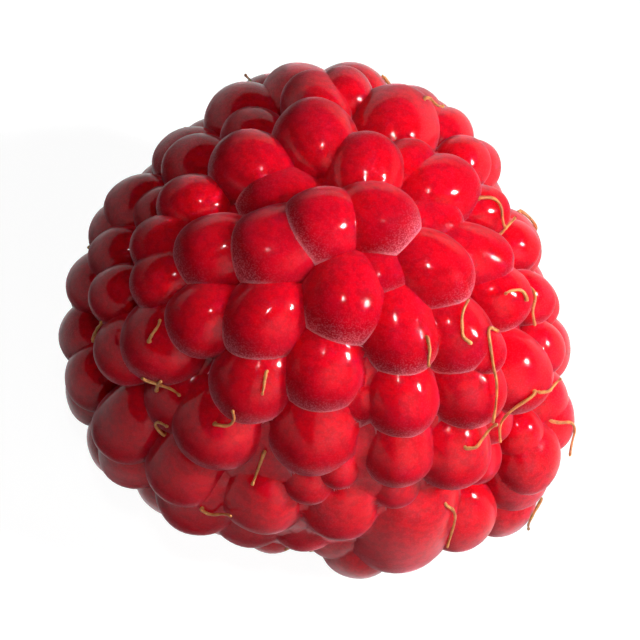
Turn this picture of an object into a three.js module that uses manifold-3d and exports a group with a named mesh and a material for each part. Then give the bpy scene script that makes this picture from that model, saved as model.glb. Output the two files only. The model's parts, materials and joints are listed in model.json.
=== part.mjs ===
// A ripe red raspberry, as picked, standing on its rim with the tip up.
// Units are millimetres, +Z is up along the fruit's axis, and the origin is at the middle of the base,
// on the surface that the fruit stands on.
//
// The fruit is one piece: drupelets that grew into each other round an open receptacle hollow.
// The drupelets fill a smooth dome, called the skin here, and each one just touches it.
// A place on the skin is given by its azimuth, in degrees from +X towards +Y, and by its arc,
// the distance walked down the skin from the tip.
import * as THREE from 'three';
import { mergeVertices } from 'three/addons/utils/BufferGeometryUtils.js';
import Module from 'manifold-3d';

// ---- driving dimensions -------------------------------------------------------------------------

const HEIGHT = 17.6;            // tip to base
const RADIUS = 11.0;            // widest radius of the skin
const WIDEST_Z = 5.2;           // height of the widest ring
const RIM_RADIUS = 7.2;         // radius of the circle that the fruit stands on
const TIP_X = -0.95;            // the tip stands here, which centres the whole fruit on the origin
const TIP_Y = -0.25;
const LEAN = 0.6;               // how far the base lies to one side of the tip
const LEAN_AZIMUTH = 335;       // and the side that it lies to
const LOBES = 3;                // seen from above the fruit is softly three-sided
const LOBE_SWELL = 0.06;        // share by which its radius swells and shrinks
const LOBE_AZIMUTH = 345;       // azimuth of one swell

const TALLNESS = 1.06;          // drupelet height as a share of its width
const DROOP = 26;               // degrees that a drupelet leans from upright towards the base
const TAIL = 0.25;              // how far most drupelets run on under the row above, in their radius
const TAIL_SLOPE = 0.6;         // how much a tail goes in for each step that it goes up the skin
const FACET_GROWTH = 1.04;      // flat facets lie inside the round body, so it is made this much larger
const RIM_FLAT = 0.25;          // depth of the flats on the rim drupelets that carry the fruit
const CREASE_TOLERANCE = 0.05;  // slivers along the creases that are finer than this are merged

const FLESH_DEPTH = 1.8;        // depth under the skin of the flesh that the drupelets sit in
const FLESH_BASE_Z = 1.2;       // height of that flesh above the base
const MOUTH_RADIUS = 4.7;       // receptacle hollow, at the base
const END_RADIUS = 2.2;         // receptacle hollow, where its round end starts
const HOLLOW_DEPTH = 12.0;      // height of its blind end

const OUTSIDE = 2.5;            // nothing stands this far off the skin
const STYLE_RADIUS = 0.075;     // dried styles are thin golden threads
const STYLE_ROOT = 0.3;         // length of a style that is set in its drupelet
const STYLE_CLEARANCE = 0.15;   // height of its middle line over the drupelets that it lies on
const STYLE_END_LIFT = 0.25;    // extra height of its free end
const STYLE_STEPS = 8;          // points along its line, less one

// ---- what grows where ---------------------------------------------------------------------------

// Drupelets, mostly from the tip down, as [azimuth, arc, radius, lift, tail]. Lift is how far one
// stands proud of the skin, and is nothing unless given. The tail is how far its tip side runs on
// under the row above, in its radius, and is TAIL unless given.
const DRUPELETS = [
  [349, 1.1, 1.6], [230, 2, 1.6], [100, 2.5, 1.6, -0.3], [227, 4.3, 1.7, 0, 0.6], [346, 4.4, 1.65],
  [133, 4.9, 1.75], [283, 4.9, 1.75], [48, 5.5, 1.65], [90, 7.4, 1.95], [313, 6.3, 1.6, 0, 0.5],
  [10, 6.4, 1.35, 0, 0.7], [169, 6.6, 1.7], [215, 6.8, 1.6], [250, 6.9, 1.7], [335, 7.1, 1.6],
  [36, 7.5, 1.15], [1, 7.9, 1.35], [122, 8, 1.45, 0, 0.6], [339, 8.1, 1.1], [111, 8.2, 1.2],
  [280, 8.3, 1.7], [234, 8.6, 1.5], [190, 8.6, 1.35], [62, 9.2, 1.2], [309, 9.3, 1.55],
  [204, 9.5, 1.35], [216, 9.5, 1.35], [332, 9.7, 1.65], [258, 9.7, 1.7], [28, 9.9, 1.15],
  [87, 10, 1.65, -0.1], [11, 10.3, 1.15], [75, 10.5, 1.35, 0.1], [167, 10.7, 1.55],
  [122, 10.9, 1.8, 0.1], [62, 11, 1.25, 0.1], [229, 11, 1.8], [350, 11.3, 1.65], [282, 11.4, 2.05],
  [308, 12, 1.55], [139, 12, 1.85, 0.2], [2, 12.1, 1.15], [210, 12.6, 1.3], [255, 12.7, 1.9],
  [324, 12.8, 1.65], [160, 12.9, 1.65, 0.2], [224, 13, 1.45], [180, 13.7, 1.55, 0.4],
  [195, 13.8, 1.3], [184, 15.1, 1.5, 0.3], [358, 15.4, 1.4], [198, 15.7, 1.5, 0.2],
  [357, 16.6, 1.5, 0.5], [294, 15.9, 1.7, 0, 0.5], [273, 16.3, 1.95], [252, 16.3, 1.75, 0, 0.5],
  [346, 16.6, 1.6, 0.6], [235, 16.6, 1.6, 0, 0.7], [207, 17.6, 1.45], [345, 17.9, 1.8, 0.4],
  [218, 17.7, 1.5, -0.2], [257, 18.2, 1.95, 0.1, 0.7], [237, 18.9, 1.7, -0.2], [329, 19, 1.75, 0.1],
  [315, 19.4, 2.6, 0.3, 0.6], [287, 18.4, 1.8, -0.4, 0.9], [271, 18.9, 1.95, -0.3, 0.8],
  [18, 12.9, 1.2, -0.2], [38, 12.8, 1.7], [60, 14, 1.7, -0.3], [83, 13.6, 1.8, 0.2],
  [105, 13.8, 1.8, 0.4], [126, 14.8, 1.8, 0.4], [144, 15.8, 1.8], [162, 16.2, 1.7],
  [14, 16, 1.6, 0.1], [33, 16.4, 1.8], [54, 17.4, 1.9], [77, 17.2, 1.9], [99, 17.4, 1.9],
  [120, 18.2, 1.9], [177, 17.6, 1.7], [193, 18.2, 1.6], [9, 19.4, 1.7], [27, 20, 1.8],
  [46, 21, 1.8], [66, 21, 1.8], [88, 20.8, 1.9], [110, 21.2, 1.9], [133, 21.6, 1.8],
  [143, 18.9, 1.8], [161, 20.2, 1.9], [183, 21.2, 1.8], [201, 21, 1.8], [215, 21, 1.6],
  [229, 21.8, 1.6], [246, 21.8, 1.7, -0.4], [263, 22.2, 1.6, -0.6], [281, 21.8, 1.6, -0.8],
  [297, 20, 1.6, -0.5], [304, 22.6, 1.7], [343, 20.7, 1.7, 0.9], [305, 22, 1.7, 0.4],
  [355, 19.2, 1.6, 0.3], [330, 22.4, 1.7], [311, 3.4, 1.2, -0.7], [183, 4.3, 1.8, -0.9],
  [23, 4.2, 1.3, -0.7], [70, 4.6, 1.3, -0.6], [146, 9.3, 1.5, -0.6], [296, 9.4, 1.1, -0.7],
  [184, 11.8, 1.2, -0.5], [241, 13.2, 1.6, -0.9], [278, 13.4, 1.6, -1], [300, 14.2, 1.7, -0.9],
  [346, 15, 1.1, -0.3], [282, 16.9, 1.6, -0.9], [303, 17.2, 1.6, -0.8],
];
const RIM_COUNT = 13;           // drupelets that the fruit stands on, in an even ring
const RIM_FIRST = 2;            // azimuth of the first of them
const RIM_DRUPELET = 1.65;      // their radius

// Dried styles, each as the places [azimuth, arc] that it passes, from its root to its free end.
const STYLES = [
  [[36, 6.3], [35, 6.9], [30, 7.2], [23, 7.1]],
  [[23, 7.6], [26, 7.8], [30, 8.0]],
  [[360, 8.0], [361, 7.6], [359, 7.2], [355, 6.8]],
  [[369, 8.9], [366, 8.7], [361, 8.6], [356, 8.9]],
  [[332, 7.0], [331, 6.6], [335, 6.0], [341, 5.6]],
  [[345, 7.6], [342, 7.1], [339, 7.3], [336, 8.2], [334, 9.1], [329, 10.4]],
  [[323, 11.6], [326, 11.7], [330, 11.4], [332, 11.0]],
  [[346, 11.1], [341, 11.4], [337, 12.0], [335, 12.9]],
  [[347, 11.3], [350, 11.7], [354, 11.8]],
  [[318, 6.2], [317, 6.8], [315, 7.3]],
  [[353, 15.0], [356, 15.6], [356, 16.4], [352, 16.8]],
  [[320, 15.6], [322, 16.2], [322, 17.0], [320, 18.2]],
  [[84, 7.4], [82, 8.0], [78, 8.4]],
  [[231, 10.4], [230, 10.0], [229, 9.4]],
  [[219, 13.6], [217, 13.2], [217, 12.7]],
  [[235, 12.1], [239, 12.0], [244, 11.8]],
  [[238, 12.6], [238, 12.0], [239, 11.5]],
  [[256, 11.6], [259, 11.4], [260, 10.9], [259, 10.3]],
  [[245, 14.6], [243, 14.2], [243, 13.7], [246, 13.3]],
  [[270, 12.7], [270, 13.5], [270, 14.4]],
  [[261, 16.9], [264, 17.0], [268, 16.2]],
  [[262, 8.5], [263, 8.9], [264, 9.3]],
  [[20, 13.8], [24, 14.6], [29, 14.8]],
  [[45, 12.4], [41, 13.2], [42, 14.2], [46, 14.8]],
  [[62, 13.2], [66, 14.0], [65, 15.2]],
  [[98, 13.4], [92, 13.8], [90, 14.6]],
  [[135, 13.0], [131, 13.6], [130, 14.6]],
  [[118, 14.0], [123, 14.8], [124, 16.0], [120, 17.0]],
  [[150, 14.6], [148, 15.6], [151, 16.4]],
  [[172, 17.0], [177, 17.8], [183, 18.0]],
  [[199, 19.0], [196, 20.0], [198, 21.0]],
  [[28, 17.0], [33, 17.6], [38, 17.6]],
  [[92, 17.6], [93, 18.8], [98, 19.6]],
  [[290, 20.2], [286, 21.0], [284, 22.0]],
  [[312, 21.4], [316, 22.0], [317, 22.8]],
  [[345, 18.6], [342, 19.6], [343, 20.6]],
];

// ---- the skin -----------------------------------------------------------------------------------

const skin = new THREE.CurvePath();
skin.add(new THREE.EllipseCurve(0, WIDEST_Z, RADIUS, HEIGHT - WIDEST_Z, Math.PI / 2, 0, true));
skin.add(new THREE.EllipseCurve(
  RIM_RADIUS, WIDEST_Z, RADIUS - RIM_RADIUS, WIDEST_Z, 0, -Math.PI / 2, true));
const SKIN_LENGTH = skin.getLength();

// The fruit's middle line leans: this is its point at a height.
function axisPoint(z) {
  const angle = THREE.MathUtils.degToRad(LEAN_AZIMUTH);
  const lean = LEAN * (1 - z / HEIGHT);
  return new THREE.Vector3(TIP_X + lean * Math.cos(angle), TIP_Y + lean * Math.sin(angle), z);
}

// The point of the skin at a place, with the directions down it, across it and out of it.
function skinPlace(azimuth, arc) {
  const share = THREE.MathUtils.clamp(arc / SKIN_LENGTH, 0.001, 0.999);
  const profile = skin.getPoint(share);
  const slope = skin.getPoint(share + 0.001).sub(skin.getPoint(share - 0.001)).normalize();
  const angle = THREE.MathUtils.degToRad(azimuth);
  const radial = new THREE.Vector3(Math.cos(angle), Math.sin(angle), 0);
  const lobeAngle = THREE.MathUtils.degToRad(LOBES * (azimuth - LOBE_AZIMUTH));
  const radius = profile.x * (1 + LOBE_SWELL * Math.cos(lobeAngle));
  const point = axisPoint(profile.y).addScaledVector(radial, radius);
  const down = radial.clone().multiplyScalar(slope.x);
  down.z = slope.y;
  const side = new THREE.Vector3(-radial.y, radial.x, 0);
  const out = new THREE.Vector3().crossVectors(down, side);
  return { point, down, side, out };
}

// ---- drupelets ----------------------------------------------------------------------------------

// The rim drupelets sit at the lower end of the skin. The surface that they stand on presses each
// one flat.
function rimRow() {
  const row = [];
  for (let i = 0; i < RIM_COUNT; i += 1) {
    row.push([RIM_FIRST + (360 * i) / RIM_COUNT, SKIN_LENGTH, RIM_DRUPELET, RIM_FLAT]);
  }
  return row;
}

// Each drupelet has a matrix that makes it from a unit ball, and a tail: the way that its tip side
// is drawn out, in millimetres.
const drupelets = [...DRUPELETS, ...rimRow()].map((entry) => {
  const [azimuth, arc, radius, lift = 0, run = TAIL] = entry;
  const { point, down, side, out } = skinPlace(azimuth, arc);
  const droop = THREE.MathUtils.degToRad(DROOP);
  const axis = out.clone().multiplyScalar(Math.cos(droop)).addScaledVector(down, Math.sin(droop));
  const front = new THREE.Vector3().crossVectors(side, axis);
  const halfHeight = radius * TALLNESS;
  const reach = Math.hypot(halfHeight * Math.cos(droop), radius * Math.sin(droop));
  const centre = point.clone().addScaledVector(out, lift - reach);
  const matrix = new THREE.Matrix4()
    .makeBasis(front, side, axis)
    .scale(new THREE.Vector3(radius, radius, halfHeight))
    .setPosition(centre);
  const tail = down.clone().addScaledVector(out, TAIL_SLOPE).multiplyScalar(-run * radius);
  return { matrix, tail };
});

// ---- the fruit as one solid ---------------------------------------------------------------------

const wasm = await Module();
wasm.setup();

function toSolid(geometry) {
  geometry.deleteAttribute('normal');
  geometry.deleteAttribute('uv');
  const merged = mergeVertices(geometry, 1e-5);
  return new wasm.Manifold(new wasm.Mesh({
    numProp: 3,
    vertProperties: merged.attributes.position.array,
    triVerts: new Uint32Array(merged.index.array),
  }));
}

function toGeometry(solid) {
  const mesh = solid.getMesh();
  const geometry = new THREE.BufferGeometry();
  geometry.setAttribute('position', new THREE.BufferAttribute(mesh.vertProperties, 3));
  geometry.setIndex(new THREE.BufferAttribute(mesh.triVerts, 1));
  geometry.computeVertexNormals();
  return geometry;
}

// A solid of revolution about the middle line at the base, from [radius, z] points up its profile.
function turned(profile, sides) {
  const lathe = new THREE.LatheGeometry(profile.map(([r, z]) => new THREE.Vector2(r, z)), sides);
  const { x, y } = axisPoint(0);
  return toSolid(lathe.rotateX(Math.PI / 2).translate(x, y, 0));
}

// The flesh between and behind the drupelets, which closes every gap between them.
function flesh() {
  const profile = [[0, FLESH_BASE_Z], [RIM_RADIUS, FLESH_BASE_Z]];
  const steps = 9;
  for (let i = steps; i > 0; i -= 1) {
    const share = (0.78 * i) / steps;
    const { x, y } = skin.getPoint(share);
    const slope = skin.getPoint(share + 0.001).sub(skin.getPoint(share - 0.001)).normalize();
    profile.push([x + FLESH_DEPTH * slope.y, y - FLESH_DEPTH * slope.x]);
  }
  profile.push([0, HEIGHT - FLESH_DEPTH]);
  return turned(profile, 24);
}

// The room left by the receptacle: a tapering bore with a round end, open at the base.
function receptacleHollow() {
  const profile = [[0, -1], [MOUTH_RADIUS, -1], [MOUTH_RADIUS, 0]];
  const steps = 4;
  for (let i = 0; i < steps; i += 1) {
    const angle = (Math.PI / 2) * (i / steps);
    const z = HOLLOW_DEPTH - END_RADIUS * (1 - Math.sin(angle));
    profile.push([END_RADIUS * Math.cos(angle), z]);
  }
  profile.push([0, HOLLOW_DEPTH]);
  return turned(profile, 20);
}

// A ball, made into the drupelet. Its tip side, where x is negative, is drawn out along the tail.
function drupeletBody({ matrix, tail }) {
  const geometry = new THREE.IcosahedronGeometry(FACET_GROWTH, 1);
  const places = geometry.attributes.position;
  for (let i = 0; i < places.count; i += 1) {
    const place = new THREE.Vector3().fromBufferAttribute(places, i);
    const behind = THREE.MathUtils.smoothstep(-place.x, 0, 1);
    place.applyMatrix4(matrix).addScaledVector(tail, behind);
    places.setXYZ(i, place.x, place.y, place.z);
  }
  return toSolid(geometry);
}

function fruit() {
  let body = flesh();
  for (const drupelet of drupelets) {
    body = body.add(drupeletBody(drupelet));
  }
  const block = new THREE.BoxGeometry(4 * RADIUS, 4 * RADIUS, 2 * HEIGHT).translate(0, 0, HEIGHT);
  const whole = body.intersect(toSolid(block)).subtract(receptacleHollow());
  // A pocket sealed between drupelets is flesh, so only the surface round the whole fruit is kept.
  const surfaces = whole.simplify(CREASE_TOLERANCE).decompose();
  return surfaces.reduce((best, next) => (next.volume() > best.volume() ? next : best));
}

const drupeletRed = new THREE.MeshStandardMaterial({ color: 0xb10f24, roughness: 0.32, metalness: 0 });
const fruitMesh = new THREE.Mesh(toGeometry(fruit()), drupeletRed);
fruitMesh.name = 'fruit';

// ---- dried styles -------------------------------------------------------------------------------

// Height of the fruit's surface over the skin at a place, found by looking straight in from outside.
function surfaceHeight({ point, out }) {
  const start = point.clone().addScaledVector(out, OUTSIDE);
  const hits = new THREE.Raycaster(start, out.clone().negate()).intersectObject(fruitMesh);
  return OUTSIDE - hits[0].distance;
}

// The line of a style. It lies on the drupelets that it passes and spans the creases between them,
// so a point that is lower than the middle of its neighbours is raised to it, and its free end
// doesn't dip into a crease.
function stylePath(style) {
  const stops = style.map(([azimuth, arc]) => new THREE.Vector3(azimuth, arc, 0));
  const route = new THREE.CatmullRomCurve3(stops);
  const places = route.getPoints(STYLE_STEPS).map(({ x, y }) => skinPlace(x, y));
  const heights = places.map((place) => surfaceHeight(place) + STYLE_CLEARANCE);
  for (let pass = 0; pass < STYLE_STEPS; pass += 1) {
    for (let i = 1; i < STYLE_STEPS; i += 1) {
      heights[i] = Math.max(heights[i], (heights[i - 1] + heights[i + 1]) / 2);
    }
    heights[STYLE_STEPS] = Math.max(heights[STYLE_STEPS], heights[STYLE_STEPS - 1]);
  }
  heights[STYLE_STEPS] += STYLE_END_LIFT;
  const line = places.map(({ point, out }, i) => point.clone().addScaledVector(out, heights[i]));
  const root = line[0].clone().addScaledVector(places[0].out, -STYLE_CLEARANCE - STYLE_ROOT);
  return new THREE.CatmullRomCurve3([root, ...line]);
}

function styleThread(style) {
  const section = new THREE.Shape();
  section.absarc(0, 0, STYLE_RADIUS, 0, 2 * Math.PI);
  const thread = new THREE.ExtrudeGeometry(section, {
    curveSegments: 2,
    steps: STYLE_STEPS + 4,
    extrudePath: stylePath(style),
    bevelEnabled: false,
  });
  return toGeometry(toSolid(thread));
}

// ---- assembly -----------------------------------------------------------------------------------

const styleGold = new THREE.MeshStandardMaterial({ color: 0xc98a45, roughness: 0.6, metalness: 0 });

const raspberry = new THREE.Group();

raspberry.add(fruitMesh);

STYLES.forEach((style, i) => {
  const mesh = new THREE.Mesh(styleThread(style), styleGold.clone());
  mesh.name = `style_${String(i + 1).padStart(2, '0')}`;
  raspberry.add(mesh);
});

export default raspberry;
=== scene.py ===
# A ripe red raspberry, as picked, standing on its rim with the tip up. +Z is up.
# Its skin is one mesh, joined from the same drupelets as the exact solid, in finer and slightly uneven
# balls, and from ten small low drupelets that the solid doesn't have. The dried styles are threads.
# Shapes are worked out in millimetres, and become metres when they are placed in the scene.
import json
import math
import bmesh
import bpy
import numpy as np
from mathutils import Matrix, Vector, kdtree
from mathutils.bvhtree import BVHTree

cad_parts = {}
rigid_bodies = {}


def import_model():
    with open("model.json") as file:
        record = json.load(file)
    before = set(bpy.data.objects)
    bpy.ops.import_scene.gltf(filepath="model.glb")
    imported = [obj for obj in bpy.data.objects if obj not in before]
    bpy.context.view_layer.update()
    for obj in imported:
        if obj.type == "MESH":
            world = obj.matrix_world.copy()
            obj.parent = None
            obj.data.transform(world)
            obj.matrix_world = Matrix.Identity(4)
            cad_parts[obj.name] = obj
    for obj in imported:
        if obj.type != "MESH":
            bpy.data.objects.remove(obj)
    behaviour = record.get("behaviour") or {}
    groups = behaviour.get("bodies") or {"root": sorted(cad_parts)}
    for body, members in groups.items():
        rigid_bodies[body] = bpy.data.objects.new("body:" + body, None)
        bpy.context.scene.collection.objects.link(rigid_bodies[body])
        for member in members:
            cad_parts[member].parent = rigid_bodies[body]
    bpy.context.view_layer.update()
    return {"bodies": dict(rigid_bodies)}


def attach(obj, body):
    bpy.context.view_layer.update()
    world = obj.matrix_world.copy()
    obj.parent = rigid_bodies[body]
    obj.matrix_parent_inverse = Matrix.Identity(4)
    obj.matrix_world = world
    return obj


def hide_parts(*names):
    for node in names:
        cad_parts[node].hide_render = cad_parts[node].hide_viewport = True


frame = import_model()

BODY = list(frame["bodies"])[0]
MM = 0.001

# ---- driving dimensions, in millimetres and degrees unless a comment says otherwise --------------

# The dome that the drupelets' outer ends reach.
HEIGHT = 17.6
RADIUS = 11.0
WIDEST_Z = 5.2
RIM_RADIUS = 7.2
TIP = (-0.95, -0.25)
LEAN = 0.6                # how far the dome's axis has moved sideways from TIP where it meets the ground
LEAN_AZIMUTH = 335
LOBES = 3                 # the dome is wider in this many directions
LOBE_SWELL = 0.06         # by this share
LOBE_AZIMUTH = 345
UPPER_POINTS = 4001       # how finely its outline is measured, above and below its widest place
LOWER_POINTS = 2001
SLOPE_STEP = 0.001        # share of the outline's length to each side, where its direction is measured

# A drupelet. Shares are of its radius.
TALLNESS = 1.06           # half its length along its own axis, as a share
DROOP = 26                # how far its axis points down from straight out of the dome
TAIL = 0.25               # how far its tip side runs on under its neighbours, as a share
TAIL_SLOPE = 0.6          # how far that side sinks for each step that it runs on
GROWTH = 1.025            # its mesh is this much larger than its radius, so creases stay tight
UNEVEN = 0.022            # how far its surface swells and dips, as a share
CUTS = 12                 # faces along each edge of its mesh, which is a rounded cube
LOCAL_PASSES = 7          # how often a guess at a place on its unit ball is mended
NORMAL_STEP = 0.004       # distance to each side over which its surface's direction is measured

# The drupelets round the rim, which the ground cuts flat.
RIM_COUNT = 13
RIM_FIRST = 2
RIM_DRUPELET = 1.65
RIM_FLAT = 0.25           # about how far they would reach below the ground

# The flesh that fills the gaps between drupelets.
FLESH_DEPTH = 1.5         # how far under the dome it lies
FLESH_BASE_Z = 1.2
FLESH_SHARE = 0.78        # how far down the dome's outline it goes, as a share of the outline's length
FLESH_RINGS = 14
FLESH_SIDES = 48

# The open hollow that the receptacle left. Its wall is dimpled where drupelets sat on the receptacle.
MOUTH_RADIUS = 4.7
MOUTH_EASE = 0.05         # how much wider it is just at the mouth
END_RADIUS = 2.2
HOLLOW_DEPTH = 12.0
HOLLOW_RISE = HOLLOW_DEPTH - END_RADIUS
HOLLOW_BELOW = 1.0        # how far its cutter starts below the ground
HOLLOW_RINGS = 34
END_RINGS = 8
HOLLOW_SIDES = 108
DIMPLE_ROW = 1.9
DIMPLE_DEPTH = 0.14
DIMPLES_ROUND = 9
DIMPLES_FROM_Z = 0.3

# How the skin's faces are sorted and shaded.
FLESH = -1                # owner of a face that belongs to no drupelet
HOLLOW = -2               # owner of a face in the hollow
SLIVER = 0.004            # shorter edges are taken out
OWNED_WITHIN = 0.06       # a face belongs to a drupelet only if the drupelet's surface is this close
OWNER_REACH = 1.8         # how far from its centre a drupelet's faces are looked for, as a share
WALL_MARGIN = 0.3         # a face this close to the hollow's plain shape belongs to its wall
SHARP_ANGLE = 0.35        # a crease that turns by more, in radians, is a sharp edge
SOFTNESS = 0.5            # how far the normals at a crease lean towards each other, as a share
FLESH_LIE = (0.2, 0, 0.3)  # what the flesh tells the skin's material: see the colour attribute "lie"

# The dried styles. Shares are of STYLE_RADIUS.
STYLE_RADIUS = 0.068
STYLE_START = 1.15        # thickness at its root, as a share
STYLE_TAPER = 0.45        # how much thinner its free end is, as a share
STYLE_KNOB = 0.35         # how much thicker the knob near its free end is, as a share
KNOB_PLACE = 0.97         # where the knob is along the style, and how long it is
KNOB_LENGTH = 0.03
STYLE_WAVE = 0.08         # how much its thickness varies along it, as a share
WAVE_RATE = 23
WAVE_STEP = 1.9           # how much the wave's phase differs from one style to the next
STYLE_ROOT = 0.3          # how deep under the skin its root is
ROOT_BEND = 0.4           # the share of that depth at which it has another point on its way up
STYLE_CLEARANCE = 0.1     # how far above the skin its middle line runs
STYLE_END_LIFT = 0.2      # how far its free end rises above that
LIFT_FROM = 0.6           # the share of its length after which it rises
STYLE_STEPS = 28
STYLE_SIDES = 7
SKIN_ABOVE = 2.5          # how far above the dome the skin is looked for, under a style
EVEN_PASSES = 60          # how often a style's dips between drupelets are bridged

# Colours in linear light. The noise scales of the materials are per metre.
# Painted glow: the bright red of each drupelet's tip side stands in for light shining through the flesh.
PAINTED_GLOW_RED = (0.72, 0.0, 0.012)
LOWER_RED = (0.36, 0.0, 0.01)
TINT_RED = (0.42, 0.001, 0.012)
MOTTLE_RED = (0.2, 0.001, 0.008)
# Partly painted sheen: the pink of the down's specks and haze is its own pale colour and also the sheen
# it shows on each drupelet's lower side.
SPECK_AND_SHEEN_PINK = (0.9, 0.24, 0.3)
DOWN_AND_SHEEN_PINK = (0.93, 0.2, 0.26)
# Painted sheen: the pale line along each drupelet's lower creases stands in for light caught by the down
# seen edge on.
PAINTED_RIM_SHEEN_PINK = (1.0, 0.4, 0.44)
FLOOR_GREY = 0.2
FLOOR_WHITE = 0.94        # how bright the floor looks to the rays that show the background
FILL = 0.035              # strength of the world's even light

# The camera, fitted to the photo. It looks towards +Y and down, and is turned about its line of sight.
LOOK_DOWN = math.radians(62)
ROLL = math.radians(22.3)
CAMERA_AWAY = 88.0
SHIFT_RIGHT = -0.21       # how far it is moved to its right, and up, from facing the fruit's middle
SHIFT_UP = -1.21
LENS = 116.55
SENSOR = 36
CLIP = (0.005, 10)        # metres
LAMP_AIM = 9.0            # how far to the right of the fruit's middle the lamps point

# The floor and the wall round it, in metres.
FLOOR_REACH = 2.0
WALL_RADIUS = 1.9
WALL_HEIGHT = 0.6
WALL_SIDES = 96

# Drupelets as [azimuth, arc, radius, lift, tail], mostly from the tip down.
DRUPELETS = [
    [349, 1.1, 1.6], [230, 2, 1.6], [100, 2.5, 1.6, -0.3], [227, 4.3, 1.7, 0, 0.6], [346, 4.4, 1.65],
    [133, 4.9, 1.75], [283, 4.9, 1.75], [48, 5.5, 1.65], [90, 7.4, 1.95], [313, 6.3, 1.6, 0, 0.5],
    [10, 6.4, 1.35, 0, 0.7], [169, 6.6, 1.7], [215, 6.8, 1.6], [250, 6.9, 1.7], [335, 7.1, 1.6],
    [36, 7.5, 1.15], [1, 7.9, 1.35], [122, 8, 1.45, 0, 0.6], [339, 8.1, 1.1], [111, 8.2, 1.2],
    [280, 8.3, 1.7], [234, 8.6, 1.5], [190, 8.6, 1.35], [62, 9.2, 1.2], [309, 9.3, 1.55],
    [204, 9.5, 1.35], [216, 9.5, 1.35], [332, 9.7, 1.65], [258, 9.7, 1.7], [28, 9.9, 1.15],
    [87, 10, 1.65, -0.1], [11, 10.3, 1.15], [75, 10.5, 1.35, 0.1], [167, 10.7, 1.55],
    [122, 10.9, 1.8, 0.1], [62, 11, 1.25, 0.1], [229, 11, 1.8], [350, 11.3, 1.65], [282, 11.4, 2.05],
    [308, 12, 1.55], [139, 12, 1.85, 0.2], [2, 12.1, 1.15], [210, 12.6, 1.3], [255, 12.7, 1.9],
    [324, 12.8, 1.65], [160, 12.9, 1.65, 0.2], [224, 13, 1.45], [180, 13.7, 1.55, 0.4],
    [195, 13.8, 1.3], [184, 15.1, 1.5, 0.3], [358, 15.4, 1.4], [198, 15.7, 1.5, 0.2],
    [357, 16.6, 1.5, 0.5], [294, 15.9, 1.7, 0, 0.5], [273, 16.3, 1.95], [252, 16.3, 1.75, 0, 0.5],
    [346, 16.6, 1.6, 0.6], [235, 16.6, 1.6, 0, 0.7], [207, 17.6, 1.45], [345, 17.9, 1.8, 0.4],
    [218, 17.7, 1.5, -0.2], [257, 18.2, 1.95, 0.1, 0.7], [237, 18.9, 1.7, -0.2], [329, 19, 1.75, 0.1],
    [315, 19.4, 2.6, 0.3, 0.6], [287, 18.4, 1.8, -0.4, 0.9], [271, 18.9, 1.95, -0.3, 0.8],
    [18, 12.9, 1.2, -0.2], [38, 12.8, 1.7], [60, 14, 1.7, -0.3], [83, 13.6, 1.8, 0.2],
    [105, 13.8, 1.8, 0.4], [126, 14.8, 1.8, 0.4], [144, 15.8, 1.8], [162, 16.2, 1.7],
    [14, 16, 1.6, 0.1], [33, 16.4, 1.8], [54, 17.4, 1.9], [77, 17.2, 1.9], [99, 17.4, 1.9],
    [120, 18.2, 1.9], [177, 17.6, 1.7], [193, 18.2, 1.6], [9, 19.4, 1.7], [27, 20, 1.8],
    [46, 21, 1.8], [66, 21, 1.8], [88, 20.8, 1.9], [110, 21.2, 1.9], [133, 21.6, 1.8],
    [143, 18.9, 1.8], [161, 20.2, 1.9], [183, 21.2, 1.8], [201, 21, 1.8], [215, 21, 1.6],
    [229, 21.8, 1.6], [246, 21.8, 1.7, -0.4], [263, 22.2, 1.6, -0.6], [281, 21.8, 1.6, -0.8],
    [297, 20, 1.6, -0.5], [304, 22.6, 1.7], [343, 20.7, 1.7, 0.9], [305, 22, 1.7, 0.4],
    [355, 19.2, 1.6, 0.3], [330, 22.4, 1.7], [311, 3.4, 1.2, -0.7], [183, 4.3, 1.8, -0.9],
    [23, 4.2, 1.3, -0.7], [70, 4.6, 1.3, -0.6], [146, 9.3, 1.5, -0.6], [296, 9.4, 1.1, -0.7],
    [184, 11.8, 1.2, -0.5], [241, 13.2, 1.6, -0.9], [278, 13.4, 1.6, -1], [300, 14.2, 1.7, -0.9],
    [346, 15, 1.1, -0.3], [282, 16.9, 1.6, -0.9], [303, 17.2, 1.6, -0.8],
]

# Small drupelets that lie low in the gaps between the others, where only their crowns show.
LOW_DRUPELETS = [
    [284, 14.1, 1.25, -0.35], [291, 13, 1, -0.4], [308, 14.4, 1.1, -0.6], [27, 14.1, 1.1, -0.6],
    [45, 15, 1.2, -0.5], [44, 9.7, 1, -0.6], [334, 15, 1.2, -1], [339, 12.8, 1.1, -1],
    [212, 14.4, 1.1, -1.3], [197, 11.2, 1.1, -1.1],
]

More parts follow.
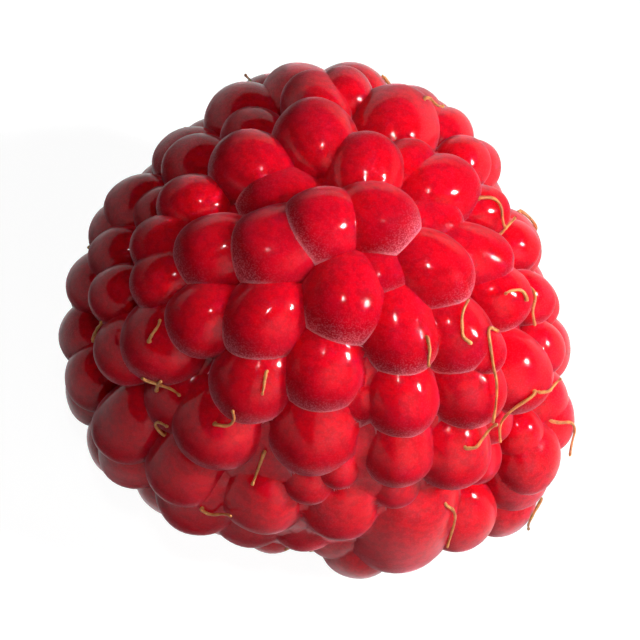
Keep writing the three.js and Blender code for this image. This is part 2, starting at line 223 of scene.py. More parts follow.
# Dried styles, each as the places [azimuth, arc] that it passes, from its root to its free end.
STYLES = [
    [[36, 6.3], [35, 6.9], [30, 7.2], [23, 7.1]],
    [[23, 7.6], [26, 7.8], [30, 8.0]],
    [[360, 8.0], [361, 7.6], [359, 7.2], [355, 6.8]],
    [[369, 8.9], [366, 8.7], [361, 8.6], [356, 8.9]],
    [[332, 7.0], [331, 6.6], [335, 6.0], [341, 5.6]],
    [[345, 7.6], [342, 7.1], [339, 7.3], [336, 8.2], [334, 9.1], [329, 10.4]],
    [[323, 11.6], [326, 11.7], [330, 11.4], [332, 11.0]],
    [[346, 11.1], [341, 11.4], [337, 12.0], [335, 12.9]],
    [[347, 11.3], [350, 11.7], [354, 11.8]],
    [[318, 6.2], [317, 6.8], [315, 7.3]],
    [[353, 15.0], [356, 15.6], [356, 16.4], [352, 16.8]],
    [[320, 15.6], [322, 16.2], [322, 17.0], [320, 18.2]],
    [[84, 7.4], [82, 8.0], [78, 8.4]],
    [[231, 10.4], [230, 10.0], [229, 9.4]],
    [[219, 13.6], [217, 13.2], [217, 12.7]],
    [[235, 12.1], [239, 12.0], [244, 11.8]],
    [[238, 12.6], [238, 12.0], [239, 11.5]],
    [[256, 11.6], [259, 11.4], [260, 10.9], [259, 10.3]],
    [[245, 14.6], [243, 14.2], [243, 13.7], [246, 13.3]],
    [[270, 12.7], [270, 13.5], [270, 14.4]],
    [[261, 16.9], [264, 17.0], [268, 16.2]],
    [[262, 8.5], [263, 8.9], [264, 9.3]],
    [[20, 13.8], [24, 14.6], [29, 14.8]],
    [[45, 12.4], [41, 13.2], [42, 14.2], [46, 14.8]],
    [[62, 13.2], [66, 14.0], [65, 15.2]],
    [[98, 13.4], [92, 13.8], [90, 14.6]],
    [[135, 13.0], [131, 13.6], [130, 14.6]],
    [[118, 14.0], [123, 14.8], [124, 16.0], [120, 17.0]],
    [[150, 14.6], [148, 15.6], [151, 16.4]],
    [[172, 17.0], [177, 17.8], [183, 18.0]],
    [[199, 19.0], [196, 20.0], [198, 21.0]],
    [[28, 17.0], [33, 17.6], [38, 17.6]],
    [[92, 17.6], [93, 18.8], [98, 19.6]],
    [[290, 20.2], [286, 21.0], [284, 22.0]],
    [[312, 21.4], [316, 22.0], [317, 22.8]],
    [[345, 18.6], [342, 19.6], [343, 20.6]],
]

rng = np.random.default_rng(7)

# ---- the dome -----------------------------------------------------------------------------------

def dome_outline():
    """The dome's outline as (radius, z), from the tip down to the rim: two quarter ellipses."""
    t = np.linspace(math.pi / 2, 0, UPPER_POINTS)
    upper = np.stack([RADIUS * np.cos(t), WIDEST_Z + (HEIGHT - WIDEST_Z) * np.sin(t)], 1)
    t = np.linspace(0, -math.pi / 2, LOWER_POINTS)
    radii = RIM_RADIUS + (RADIUS - RIM_RADIUS) * np.cos(t)
    lower = np.stack([radii, WIDEST_Z + WIDEST_Z * np.sin(t)], 1)
    return np.concatenate([upper, lower[1:]])


OUTLINE = dome_outline()
WALKED = np.concatenate([[0], np.cumsum(np.linalg.norm(np.diff(OUTLINE, axis=0), axis=1))])
SKIN_LENGTH = WALKED[-1]


def outline_at(arc):
    """The outline's (radius, z) at a distance from the tip along it."""
    return np.array([np.interp(arc, WALKED, OUTLINE[:, 0]), np.interp(arc, WALKED, OUTLINE[:, 1])])


def outline_slope(share):
    """The direction in which the outline runs down, at a share of its length."""
    before = outline_at((share - SLOPE_STEP) * SKIN_LENGTH)
    after = outline_at((share + SLOPE_STEP) * SKIN_LENGTH)
    return (after - before) / np.linalg.norm(after - before)


def axis_point(z):
    """Where the dome's leaning axis is at a height."""
    lean = LEAN * (1 - z / HEIGHT)
    angle = math.radians(LEAN_AZIMUTH)
    return np.array([TIP[0] + lean * math.cos(angle), TIP[1] + lean * math.sin(angle), z])


def skin_place(azimuth, arc):
    """Point of the dome, and the directions down it, across it and out of it."""
    share = min(max(arc / SKIN_LENGTH, SLOPE_STEP), 1 - SLOPE_STEP)
    r, z = outline_at(share * SKIN_LENGTH)
    slope = outline_slope(share)
    a = math.radians(azimuth)
    radial = np.array([math.cos(a), math.sin(a), 0.0])
    r *= 1 + LOBE_SWELL * math.cos(math.radians(LOBES * (azimuth - LOBE_AZIMUTH)))
    down = radial * slope[0] + np.array([0, 0, slope[1]])
    side = np.array([-radial[1], radial[0], 0.0])
    return axis_point(z) + radial * r, down, side, np.cross(down, side)


# ---- drupelets ----------------------------------------------------------------------------------

class Drupelet:
    """An uneven round solid. Its own x points to its lower side, and its z out of the fruit."""

    def __init__(self, azimuth, arc, radius, lift=0.0, run=TAIL):
        point, down, side, out = skin_place(azimuth, arc)
        droop = math.radians(DROOP)
        axis = out * math.cos(droop) + down * math.sin(droop)
        front = np.cross(side, axis)
        reach = math.hypot(radius * TALLNESS * math.cos(droop), radius * math.sin(droop))
        self.centre = point + out * (lift - reach)
        self.radius = radius
        self.basis = np.stack([front * radius, side * radius, axis * radius * TALLNESS], 1) * GROWTH
        self.inverse = np.linalg.inv(self.basis)
        self.tail = -run * radius * (down + TAIL_SLOPE * out)
        self.phase = rng.uniform(0, 2 * math.pi, 6)
        self.tint = rng.uniform(0, 1)

    def swell(self, p):
        """How far the surface lies from the unit ball's middle: waves that differ on each drupelet."""
        f = self.phase
        return 1 + UNEVEN * (
            0.5 * np.sin(2.3 * p[:, 0] + f[0]) + 0.5 * np.sin(2.7 * p[:, 1] + f[1])
            + 0.4 * np.sin(3.1 * p[:, 2] + 1.7 * p[:, 0] + f[2])
            + 0.25 * np.sin(5.3 * p[:, 1] - 2.9 * p[:, 2] + f[3])
            + 0.2 * np.sin(6.1 * p[:, 0] + 3.7 * p[:, 1] + f[4]))

    @staticmethod
    def behind(p):
        """How much of the tail a place takes: nothing on the lower side, all of it at the tip side."""
        b = np.clip(-p[:, 0], 0, 1)
        return (b * b * (3 - 2 * b))[:, None]

    def place(self, unit):
        """Points of the surface, for directions from the middle of the unit ball."""
        p = unit * self.swell(unit)[:, None]
        return self.centre + p @ self.basis.T + self.behind(unit) * self.tail

    def local(self, points):
        """Where points of the surface lie on the unit ball that the drupelet is made from."""
        p = (points - self.centre) @ self.inverse.T
        shift = self.inverse @ self.tail
        place = p
        for _ in range(LOCAL_PASSES):
            place = 0.5 * place + 0.5 * (p - self.behind(place) * shift)
        return place

    def gap(self, points):
        """How far points stand off the surface, as a share of the radius."""
        p = self.local(points)
        size = np.linalg.norm(p, axis=1)
        return size - self.swell(p / size[:, None])

    def normal(self, points):
        """The surface's direction at points, from how the gap changes round them."""
        steps = NORMAL_STEP * np.eye(3)
        n = np.stack([self.gap(points + step) - self.gap(points - step) for step in steps], 1)
        return n / np.linalg.norm(n, axis=1)[:, None]


drupelets = [Drupelet(*entry) for entry in DRUPELETS]
drupelets += [
    Drupelet(RIM_FIRST + 360 * i / RIM_COUNT, SKIN_LENGTH, RIM_DRUPELET, RIM_FLAT)
    for i in range(RIM_COUNT)
]
drupelets += [Drupelet(*entry) for entry in LOW_DRUPELETS]

# ---- solids and how they are joined -------------------------------------------------------------

def round_ball():
    """A unit ball as a rounded cube: points and four-sided faces."""
    b = bmesh.new()
    bmesh.ops.create_cube(b, size=2)
    bmesh.ops.subdivide_edges(b, edges=b.edges[:], cuts=CUTS - 1, use_grid_fill=True)
    points = np.array([v.co[:] for v in b.verts])
    b.verts.index_update()
    faces = [[v.index for v in f.verts] for f in b.faces]
    b.free()
    points = np.tan(points * math.pi / 4)
    return points / np.linalg.norm(points, axis=1)[:, None], faces


def mesh_object(name, points, faces):
    """A new object in the scene."""
    mesh = bpy.data.meshes.new(name)
    mesh.from_pydata([tuple(p) for p in points], [], faces)
    mesh.update()
    o = bpy.data.objects.new(name, mesh)
    bpy.context.scene.collection.objects.link(o)
    return o


def turned(name, outline, sides, wobble=None):
    """A closed solid of revolution about the base's middle line, from (radius, z) up its outline."""
    x, y, _ = axis_point(0)
    points, faces, rings = [], [], []
    for r, z in outline:
        if r == 0:
            rings.append([len(points)])
            points.append((x, y, z))
            continue
        rings.append([len(points) + i for i in range(sides)])
        for i in range(sides):
            a = 2 * math.pi * i / sides
            rr = r + (wobble(a, z) if wobble else 0)
            points.append((x + rr * math.cos(a), y + rr * math.sin(a), z))
    for low, high in zip(rings, rings[1:]):
        for i in range(sides):
            j = (i + 1) % sides
            if len(low) == 1:
                faces.append([low[0], high[j], high[i]])
            elif len(high) == 1:
                faces.append([low[i], low[j], high[0]])
            else:
                faces.append([low[i], low[j], high[j], high[i]])
    return mesh_object(name, points, faces)


def combine(base, operands, operation):
    """Changes the base by a boolean with each operand, and removes the operands."""
    for i, o in enumerate(operands):
        m = base.modifiers.new("b%d" % i, "BOOLEAN")
        m.solver = "MANIFOLD"
        m.operation = operation
        m.object = o
    dg = bpy.context.evaluated_depsgraph_get()
    mesh = bpy.data.meshes.new_from_object(base.evaluated_get(dg))
    base.modifiers.clear()
    base.data = mesh
    for o in operands:
        bpy.data.objects.remove(o)


def flesh():
    """The core that the drupelets are joined to."""
    outline = [(0, FLESH_BASE_Z), (RIM_RADIUS, FLESH_BASE_Z)]
    for i in range(FLESH_RINGS, 0, -1):
        share = FLESH_SHARE * i / FLESH_RINGS
        r, z = outline_at(share * SKIN_LENGTH)
        slope = outline_slope(share)
        outline.append((r + FLESH_DEPTH * slope[1], z - FLESH_DEPTH * slope[0]))
    outline.append((0, HEIGHT - FLESH_DEPTH))
    return turned("flesh", outline, FLESH_SIDES)


def dimples(a, z):
    """How far the hollow's wall goes in or out, at an angle and a height."""
    if not DIMPLES_FROM_Z < z < HOLLOW_RISE:
        return 0
    row = z / DIMPLE_ROW
    wave = math.sin(DIMPLES_ROUND * a + math.pi * math.floor(row))
    return DIMPLE_DEPTH * wave * math.sin(math.pi * (row % 1)) ** 2


def hollow():
    """The solid that is cut out where the receptacle was."""
    mouth = MOUTH_RADIUS + MOUTH_EASE
    outline = [(0, -HOLLOW_BELOW), (mouth, -HOLLOW_BELOW), (mouth, 0)]
    for i in range(1, HOLLOW_RINGS):
        narrowing = (END_RADIUS - MOUTH_RADIUS) * i / HOLLOW_RINGS
        outline.append((MOUTH_RADIUS + narrowing, HOLLOW_RISE * i / HOLLOW_RINGS))
    for i in range(END_RINGS):
        a = math.pi / 2 * i / END_RINGS
        outline.append((END_RADIUS * math.cos(a), HOLLOW_RISE + END_RADIUS * math.sin(a)))
    outline.append((0, HOLLOW_DEPTH))
    return turned("hollow", outline, HOLLOW_SIDES, dimples)


def above_ground():
    """A block that reaches past the fruit on every side, from the ground up."""
    side = 4 * RADIUS
    points = [(x, y, z) for x in (-side, side) for y in (-side, side) for z in (0, 3 * HEIGHT)]
    faces = [[0, 1, 3, 2], [4, 6, 7, 5], [0, 4, 5, 1], [2, 3, 7, 6], [0, 2, 6, 4], [1, 5, 7, 3]]
    return mesh_object("block", points, faces)


def fruit_solid():
    """Flesh and drupelets joined, cut flat at the ground and hollowed out."""
    base = flesh()
    ball, ball_faces = round_ball()
    balls = [mesh_object("d%d" % i, d.place(ball), ball_faces) for i, d in enumerate(drupelets)]
    combine(base, balls, "UNION")
    combine(base, [above_ground()], "INTERSECT")
    combine(base, [hollow()], "DIFFERENCE")
    return base


def keep_largest(mesh):
    """Makes triangles, and drops the surfaces of pockets sealed between drupelets."""
    b = bmesh.new()
    b.from_mesh(mesh)
    bmesh.ops.triangulate(b, faces=b.faces[:])
    bmesh.ops.dissolve_degenerate(b, dist=SLIVER, edges=b.edges[:])
    bmesh.ops.triangulate(b, faces=[f for f in b.faces if len(f.verts) > 3])
    b.faces.ensure_lookup_table()
    seen, best = set(), []
    for f in b.faces:
        if f.index in seen:
            continue
        seen.add(f.index)
        stack, part = [f], []
        while stack:
            g = stack.pop()
            part.append(g)
            for e in g.edges:
                for h in e.link_faces:
                    if h.index not in seen:
                        seen.add(h.index)
                        stack.append(h)
        if len(part) > len(best):
            best = part
    kept = set(best)
    bmesh.ops.delete(b, geom=[f for f in b.faces if f not in kept], context="FACES")
    b.to_mesh(mesh)
    b.free()
    mesh.update()


# ---- what the skin needs to know about each place -----------------------------------------------

def face_owners(middles):
    """Which drupelet each face belongs to: the one whose surface passes closest to its middle."""
    owners = np.full(len(middles), FLESH)
    nearest = np.full(len(middles), OWNED_WITHIN)
    for i, d in enumerate(drupelets):
        close = np.where(np.linalg.norm(middles - d.centre, axis=1) < d.radius * OWNER_REACH)[0]
        if len(close) == 0:
            continue
        gap = np.abs(d.gap(middles[close])) * d.radius
        better = gap < nearest[close]
        owners[close[better]] = i
        nearest[close[better]] = gap[better]
    x, y, _ = axis_point(0)
    z = middles[:, 2]
    from_axis = np.hypot(middles[:, 0] - x, middles[:, 1] - y)
    wall = MOUTH_RADIUS + (END_RADIUS - MOUTH_RADIUS) * np.clip(z / HOLLOW_RISE, 0, 1)
    owners[(from_axis < wall + WALL_MARGIN) & (z < HOLLOW_DEPTH + WALL_MARGIN)] = HOLLOW
    return owners


def crease_points(triangles, owners):
    """The points of the edges between faces of different owners."""
    faces_at = {}
    for f, (a, b, c) in enumerate(triangles):
        for e in ((a, b), (b, c), (c, a)):
            faces_at.setdefault((min(e), max(e)), []).append(f)
    found = set()
    for edge, faces in faces_at.items():
        if len({owners[f] for f in faces}) > 1:
            found.update(edge)
    return sorted(found)


def distance_to(marked):
    """How far each point of the skin is from the nearest marked one."""
    tree = kdtree.KDTree(len(marked))
    for i, v in enumerate(marked):
        tree.insert(co[v], i)
    tree.balance()
    return np.array([tree.find(p)[2] for p in co])


def to_unit(vectors):
    """The same directions with length 1. A vector with no length stays as it is."""
    return vectors / np.maximum(np.linalg.norm(vectors, axis=1), 1e-12)[:, None]


def averaged(mine):
    """For each chosen corner, the average normal of the chosen corners at its point."""
    total = np.zeros((len(co), 3))
    np.add.at(total, corners[mine], normals[mine])
    return to_unit(total)[corners[mine]]


def sort_faces(mesh, owners):
    """Smooth faces, sharp edges at steep creases, and the hollow's wall in the second material slot."""
    b = bmesh.new()
    b.from_mesh(mesh)
    for f in b.faces:
        f.smooth = True
        f.material_index = 1 if owners[f.index] == HOLLOW else 0
    b.normal_update()
    for e in b.edges:
        beside = [owners[f.index] for f in e.link_faces]
        crease = len(beside) == 2 and beside[0] != beside[1]
        e.smooth = not (crease and e.calc_face_angle(0) > SHARP_ANGLE)
    b.to_mesh(mesh)
    b.free()
    mesh.update()


fruit = fruit_solid()
fruit.name = "fruit_skin"
mesh = fruit.data
keep_largest(mesh)
co = np.zeros(len(mesh.vertices) * 3)
mesh.vertices.foreach_get("co", co)
co = co.reshape(-1, 3)
corners = np.zeros(len(mesh.loops), int)
mesh.loops.foreach_get("vertex_index", corners)
tris = corners.reshape(-1, 3)
owner = face_owners(co[tris].mean(1))
corner_owner = np.repeat(owner, 3)
crease = crease_points(tris, owner)

# The colour attribute "lie" tells the skin's material about each place. Red: from a drupelet's tip side
# (0) to its lower side (1). Green: distance from a crease, up to 1 mm. Blue: the drupelet's own tint.
lie = np.zeros((len(corners), 4))
lie[:, 1] = np.clip(distance_to(crease)[corners], 0, 1)
lie[:, 3] = 1
first, second, third = co[tris[:, 0]], co[tris[:, 1]], co[tris[:, 2]]
normals = np.repeat(to_unit(np.cross(second - first, third - first)), 3, 0)
for i, d in enumerate(drupelets):
    mine = np.where(corner_owner == i)[0]
    if len(mine):
        places = co[corners[mine]]
        lie[mine, 0] = np.clip(0.5 + 0.5 * d.local(places)[:, 0], 0, 1)
        lie[mine, 2] = d.tint
        normals[mine] = d.normal(places)
# The flesh takes the painted glow red of a drupelet's tip side.
lie[corner_owner == FLESH, :3] = FLESH_LIE
attribute = mesh.color_attributes.new("lie", "FLOAT_COLOR", "CORNER")
attribute.data.foreach_set("color", lie.reshape(-1))

mesh.transform(Matrix.Scale(MM, 4))
sort_faces(mesh, owner)
# The flesh and the hollow take the average of their own faces' directions at each point.
for kind in (FLESH, HOLLOW):
    mine = corner_owner == kind
    normals[mine] = averaged(mine)
# Along a crease the skin runs over softly, so the normals there lean towards each other.
mine = np.isin(corners, crease)
normals[mine] = (1 - SOFTNESS) * normals[mine] + SOFTNESS * averaged(mine)
mesh.normals_split_custom_set([tuple(v) for v in to_unit(normals)])
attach(fruit, BODY)
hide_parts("fruit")

# ---- materials ----------------------------------------------------------------------------------

class Nodes:
    """Short words for building a material's node tree."""

    def __init__(self, name):
        self.material = bpy.data.materials.new(name)
        self.material.use_nodes = True
        self.tree = self.material.node_tree
        self.tree.nodes.clear()
        out = self.new("ShaderNodeOutputMaterial")
        self.bsdf = self.new("ShaderNodeBsdfPrincipled")
        self.link(self.bsdf.outputs[0], out.inputs[0])

    def new(self, kind, **values):
        node = self.tree.nodes.new(kind)
        for key, value in values.items():
            setattr(node, key, value)
        return node

    def link(self, a, b):
        self.tree.links.new(a, b)

    def drive(self, name, value):
        """Links a value to one of the shader's sockets."""
        self.link(value, self.bsdf.inputs[name])

    def noise(self, scale, detail, rough, vector):
        node = self.new("ShaderNodeTexNoise")
        node.inputs["Scale"].default_value = scale
        node.inputs["Detail"].default_value = detail
        node.inputs["Roughness"].default_value = rough
        self.link(vector, node.inputs["Vector"])
        return node.outputs["Fac"]

    def span(self, value, low, high, to_low=0.0, to_high=1.0):
        """Takes low to to_low and high to to_high, with a smooth step between them."""
        node = self.new("ShaderNodeMapRange", interpolation_type="SMOOTHSTEP")
        self.link(value, node.inputs[0])
        for i, v in enumerate((low, high, to_low, to_high)):
            node.inputs[i + 1].default_value = v
        return node.outputs[0]

    def math(self, operation, a, b):
        node = self.new("ShaderNodeMath", operation=operation)
        for i, v in enumerate((a, b)):
            if isinstance(v, (int, float)):
                node.inputs[i].default_value = v
            else:
                self.link(v, node.inputs[i])
        return node.outputs[0]

    def times(self, a, b):
        return self.math("MULTIPLY", a, b)

    def mix(self, fac, a, b):
        node = self.new("ShaderNodeMix", data_type="RGBA")
        self.link(fac, node.inputs[0])
        for i, v in ((6, a), (7, b)):
            if isinstance(v, tuple):
                node.inputs[i].default_value = (*v, 1)
            else:
                self.link(v, node.inputs[i])
        return node.outputs[2]

    def bump(self, height, strength, distance, normal=None):
        node = self.new("ShaderNodeBump")
        node.inputs["Strength"].default_value = strength
        node.inputs["Distance"].default_value = distance
        self.link(height, node.inputs["Height"])
        if normal is not None:
            self.link(normal, node.inputs["Normal"])
        return node.outputs[0]

    def set(self, **values):
        """Sets the shader's plain sockets, by their names with underscores for spaces."""
        for key, value in values.items():
            self.bsdf.inputs[key.replace("_", " ")].default_value = value


def skin_material():
    """Translucent red flesh under a fine pale down, wet towards each drupelet's tip side, with a painted
    glow on the tip side and a painted sheen of the down on the lower side.
    """
    n = Nodes("raspberry_skin")
    place = n.new("ShaderNodeTexCoord").outputs["Object"]
    lie_color = n.new("ShaderNodeVertexColor", layer_name="lie").outputs["Color"]
    split = n.new("ShaderNodeSeparateColor")
    n.link(lie_color, split.inputs[0])
    lower, gap, own = split.outputs
    broad = n.noise(700, 2, 0.5, place)
    mottle = n.noise(3200, 4, 0.6, place)
    fine = n.noise(15000, 2, 0.6, place)
    # The red of the flesh: a painted glow of light through it on each drupelet's tip side, deeper red
    # towards the lower side, and different on each drupelet.
    painted_glow_fade = n.span(n.math("ADD", lower, n.times(broad, 0.35)), 0.3, 0.85)
    red = n.mix(painted_glow_fade, PAINTED_GLOW_RED, LOWER_RED)
    tinted = n.mix(n.times(own, 0.3), red, TINT_RED)
    mottled = n.mix(n.times(n.span(mottle, 0.42, 0.62), 0.3), tinted, MOTTLE_RED)
    # The down: fine pale specks, denser on the lower side, and a haze of them there. Both are partly the
    # down's own pale colour and partly its sheen on the lower side, painted into the colour.
    specks_and_sheen = n.times(n.span(fine, 0.48, 0.62), n.span(lower, 0.35, 0.85, 0.04, 0.45))
    with_specks_and_sheen = n.mix(specks_and_sheen, mottled, SPECK_AND_SHEEN_PINK)
    sheen_haze_place = n.times(n.span(lower, 0.5, 0.92), n.span(mottle, 0.36, 0.6, 0.4, 1.0))
    down_and_sheen_haze = n.times(sheen_haze_place, n.span(fine, 0.4, 0.6, 0.3, 1.0))
    with_down_and_sheen = n.mix(n.times(down_and_sheen_haze, 0.95), with_specks_and_sheen, DOWN_AND_SHEEN_PINK)
    # A painted sheen: a pale line along the creases of the lower side, where the down is seen edge on.
    line = n.times(n.span(gap, 0.22, 0.03), n.span(lower, 0.45, 0.75))
    n.drive("Base Color", n.mix(n.times(line, 0.4), with_down_and_sheen, PAINTED_RIM_SHEEN_PINK))
    n.drive("Roughness", n.span(down_and_sheen_haze, 0.0, 0.8, 0.16, 0.42))
    n.drive("Coat Weight", n.span(lower, 0.18, 0.4, 0.5, 0.0))
    height = n.math("ADD", n.times(fine, 0.5), mottle)
    n.drive("Normal", n.bump(height, 0.3, 0.00006, n.bump(broad, 0.25, 0.0003)))
    n.set(Subsurface_Weight=0.8, Subsurface_Scale=0.0018, Subsurface_Radius=(1.0, 0.12, 0.1))
    n.set(Coat_Roughness=0.1, Coat_IOR=1.4, IOR=1.36, Specular_IOR_Level=0.02)
    n.set(Sheen_Weight=0.6, Sheen_Roughness=0.35, Sheen_Tint=(1.0, 0.3, 0.38, 1))
    return n.material


def hollow_material():
    """The hollow's matte, paler wall."""
    n = Nodes("hollow_wall")
    place = n.new("ShaderNodeTexCoord").outputs["Object"]
    broad = n.noise(500, 3, 0.5, place)
    fine = n.noise(6000, 4, 0.7, place)
    base = n.mix(n.span(broad, 0.35, 0.7), (0.5, 0.03, 0.06), (0.62, 0.12, 0.13))
    n.drive("Base Color", n.mix(n.span(fine, 0.5, 0.8, 0, 0.5), base, (0.75, 0.35, 0.33)))
    n.drive("Roughness", n.span(fine, 0.3, 0.7, 0.55, 0.8))
    n.drive("Normal", n.bump(fine, 0.5, 0.00012))
    n.set(Subsurface_Weight=0.25, Subsurface_Scale=0.001, Subsurface_Radius=(1.0, 0.2, 0.15))
    n.set(Sheen_Weight=0.4)
    return n.material


def style_material():
    """A dry golden thread."""
    n = Nodes("dried_style")
    place = n.new("ShaderNodeTexCoord").outputs["Object"]
    streak = n.noise(3000, 3, 0.6, place)
    fine = n.noise(14000, 2, 0.6, place)
    base = n.mix(n.span(streak, 0.35, 0.65), (0.46, 0.15, 0.035), (0.7, 0.28, 0.08))
    n.drive("Base Color", n.mix(n.span(fine, 0.55, 0.8, 0, 0.6), base, (0.8, 0.42, 0.18)))
    n.drive("Roughness", n.span(fine, 0.3, 0.7, 0.45, 0.65))
    n.drive("Normal", n.bump(fine, 0.4, 0.00002))
    n.set(Subsurface_Weight=0.15, Subsurface_Scale=0.0002)
    return n.material


fruit.data.materials.clear()
fruit.data.materials.append(skin_material())
fruit.data.materials.append(hollow_material())
style_look = style_material()

# ---- dried styles -------------------------------------------------------------------------------

surface = BVHTree.FromPolygons([tuple(p) for p in co], [tuple(t) for t in tris])


def spline(points, count):
    """A smooth curve through points, Catmull-Rom with even parameters, as count places."""
    p = np.array(points, float)
    ends = np.concatenate([[2 * p[0] - p[1]], p, [2 * p[-1] - p[-2]]])
    places = []
    for s in np.linspace(0, len(p) - 1, count):
        i = min(int(s), len(p) - 2)
        t = s - i
        a, b, c, d = ends[i:i + 4]
        places.append(0.5 * (2 * b + (c - a) * t + (2 * a - 5 * b + 4 * c - d) * t * t
                             + (3 * b - a - 3 * c + d) * t ** 3))
    return np.array(places)


def style_line(stops):
    """A style's middle line: over the skin through its stops, from a root under the skin."""
    places = [skin_place(azimuth, arc) for azimuth, arc in spline(stops, STYLE_STEPS + 1)]
    heights = []
    for point, _, _, out in places:
        depth = surface.ray_cast(Vector(point + out * SKIN_ABOVE), Vector(-out))[3]
        heights.append(0.0 if depth is None else SKIN_ABOVE - depth + STYLE_CLEARANCE)
    heights = np.array(heights)
    for _ in range(EVEN_PASSES):
        heights[1:-1] = np.maximum(heights[1:-1], (heights[:-2] + heights[2:]) / 2)
        heights[-1] = max(heights[-1], heights[-2])
    share = np.linspace(0, 1, STYLE_STEPS + 1)
    heights += STYLE_END_LIFT * np.clip((share - LIFT_FROM) / (1 - LIFT_FROM), 0, 1) ** 2
    line = np.array([point + out * h for (point, _, _, out), h in zip(places, heights)])
    rise = places[0][3] * (STYLE_CLEARANCE + STYLE_ROOT)
    return np.concatenate([[line[0] - rise, line[0] - rise * ROOT_BEND], line])


def style_radius(share, phase):
    """A style's thickness at a share of its length."""
    knob = STYLE_KNOB * math.exp(-((share - KNOB_PLACE) / KNOB_LENGTH) ** 2)
    wave = STYLE_WAVE * math.sin(WAVE_RATE * share + phase)
    return STYLE_RADIUS * (STYLE_START - STYLE_TAPER * share + knob + wave)


def tube(name, line, phase):
    """A closed thread along a line, as thick as a style is."""
    points, faces = [], []
    n = len(line)
    along = to_unit(np.gradient(line, axis=0))
    across = np.cross(along[0], (0.3, 0.2, 0.9))     # any direction that isn't along the line would do
    for i in range(n):
        across = across - along[i] * across.dot(along[i])
        across /= np.linalg.norm(across)
        other = np.cross(along[i], across)
        r = style_radius(i / (n - 1), phase)
        for k in range(STYLE_SIDES):
            a = 2 * math.pi * k / STYLE_SIDES
            points.append((line[i] + (across * math.cos(a) + other * math.sin(a)) * r) * MM)
    for i in range(n - 1):
        for k in range(STYLE_SIDES):
            m = (k + 1) % STYLE_SIDES
            a, b = i * STYLE_SIDES, (i + 1) * STYLE_SIDES
            faces.append([a + k, a + m, b + m, b + k])
    faces.append(list(range(STYLE_SIDES))[::-1])
    faces.append([(n - 1) * STYLE_SIDES + k for k in range(STYLE_SIDES)])
    o = mesh_object(name, points, faces)
    for f in o.data.polygons:
        f.use_smooth = True
    return o


for i, stops in enumerate(STYLES):
    name = "style_%02d" % (i + 1)
    thread = tube(name + "_thread", style_line(stops), WAVE_STEP * i)
    thread.data.materials.append(style_look)
    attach(thread, BODY)
    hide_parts(name)

# ---- camera and lights --------------------------------------------------------------------------

forward = np.array([0, math.cos(LOOK_DOWN), -math.sin(LOOK_DOWN)])
upright = np.array([0, math.sin(LOOK_DOWN), math.cos(LOOK_DOWN)])
level = np.array([1.0, 0, 0])
cam_right = level * math.cos(ROLL) + upright * math.sin(ROLL)
cam_up = -level * math.sin(ROLL) + upright * math.cos(ROLL)
fruit_middle = np.array([TIP[0], TIP[1], HEIGHT / 2])
eye = fruit_middle - CAMERA_AWAY * forward + SHIFT_RIGHT * cam_right + SHIFT_UP * cam_up
camera = bpy.data.objects.new("camera", bpy.data.cameras.new("camera"))
bpy.context.scene.collection.objects.link(camera)
camera.data.sensor_width = SENSOR
camera.data.lens = LENS
camera.data.clip_start, camera.data.clip_end = CLIP
turn = Matrix(np.stack([cam_right, cam_up, -forward], 1).tolist()).to_4x4()
camera.matrix_world = Matrix.Translation(Vector(eye * MM)) @ turn
bpy.context.scene.camera = camera


def window(name, sideways, upward, strength, width, height, away=160.0, spread=20):
    """A soft window-like light, by its direction from the fruit in the camera's frame and its size."""
    aim = Vector((fruit_middle + cam_right * LAMP_AIM) * MM)
    nearer = math.sqrt(1 - sideways ** 2 - upward ** 2)
    toward = cam_right * sideways + cam_up * upward - forward * nearer
    place = Vector((fruit_middle + toward * away) * MM)
    lamp = bpy.data.lights.new(name, "AREA")
    lamp.shape = "RECTANGLE"
    lamp.size = width * MM
    lamp.size_y = height * MM
    lamp.energy = strength
    lamp.spread = math.radians(spread)
    o = bpy.data.objects.new(name, lamp)
    bpy.context.scene.collection.objects.link(o)
    turn = (place - aim).to_track_quat("Z", "Y").to_matrix().to_4x4()
    o.matrix_world = Matrix.Translation(place) @ turn


window("front_window", 0.059, 0.296, strength=0.0012, width=14, height=17)
window("side_window", 0.862, 0.138, strength=0.0065, width=25, height=31)
window("room_light", 0.5, -0.5, strength=0.085, width=260, height=260, away=220.0, spread=90)

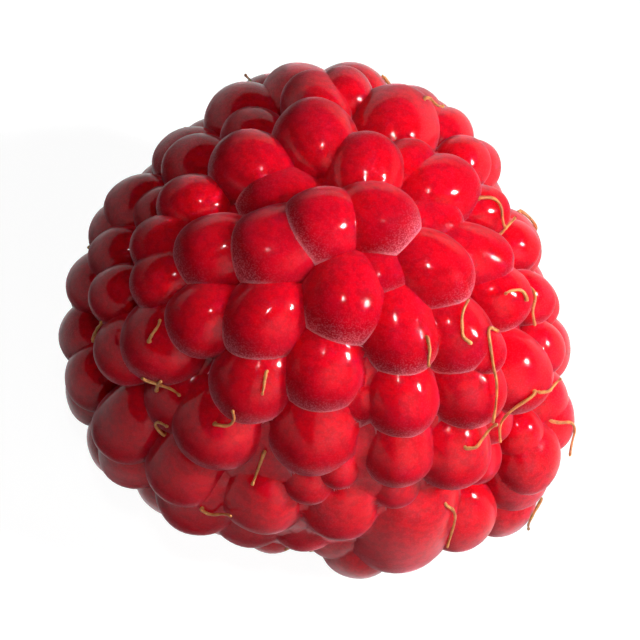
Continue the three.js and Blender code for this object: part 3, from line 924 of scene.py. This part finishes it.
# ---- floor, backdrop and world ------------------------------------------------------------------

def background_rays(n):
    """1 for the rays that show the background itself, and 0 for those that light the fruit."""
    path = n.new("ShaderNodeLightPath")
    total = path.outputs["Is Camera Ray"]
    for ray in ("Is Glossy Ray", "Is Transmission Ray"):
        add = n.new("ShaderNodeMath", operation="ADD", use_clamp=True)
        n.link(total, add.inputs[0])
        n.link(path.outputs[ray], add.inputs[1])
        total = add.outputs[0]
    return total


def paper_material():
    """A floor that looks pale, but throws little light on the fruit."""
    n = Nodes("pale_floor")
    n.set(Base_Color=(FLOOR_GREY, FLOOR_GREY, FLOOR_GREY, 1), Roughness=0.95, Specular_IOR_Level=0.0)
    n.set(Emission_Color=(1, 1, 1, 1))
    n.drive("Emission Strength", n.times(background_rays(n), FLOOR_WHITE))
    return n.material


def backdrop():
    """A low wall far behind the fruit, so that the pale ground also fills the view from low down."""
    points, faces = [], []
    for i in range(WALL_SIDES):
        a = 2 * math.pi * i / WALL_SIDES
        for z in (0, WALL_HEIGHT):
            points.append((WALL_RADIUS * math.cos(a), WALL_RADIUS * math.sin(a), z))
        j = (i + 1) % WALL_SIDES
        faces.append([2 * i, 2 * j, 2 * j + 1, 2 * i + 1])
    return mesh_object("backdrop", points, faces)


paper = paper_material()
square = [(-FLOOR_REACH, -FLOOR_REACH, 0), (FLOOR_REACH, -FLOOR_REACH, 0),
          (FLOOR_REACH, FLOOR_REACH, 0), (-FLOOR_REACH, FLOOR_REACH, 0)]
floor = mesh_object("floor", square, [[0, 1, 2, 3]])
floor.data.materials.append(paper)
wall = backdrop()
wall.data.materials.append(paper)

world = bpy.data.worlds.new("studio")
bpy.context.scene.world = world
world.use_nodes = True
world_nodes = world.node_tree.nodes
world_nodes.clear()
sky = world_nodes.new("ShaderNodeBackground")
world.node_tree.links.new(sky.outputs[0], world_nodes.new("ShaderNodeOutputWorld").inputs[0])
sky.inputs["Color"].default_value = (1, 1, 1, 1)
sky.inputs["Strength"].default_value = FILL
bpy.context.scene.view_settings.view_transform = "Standard"
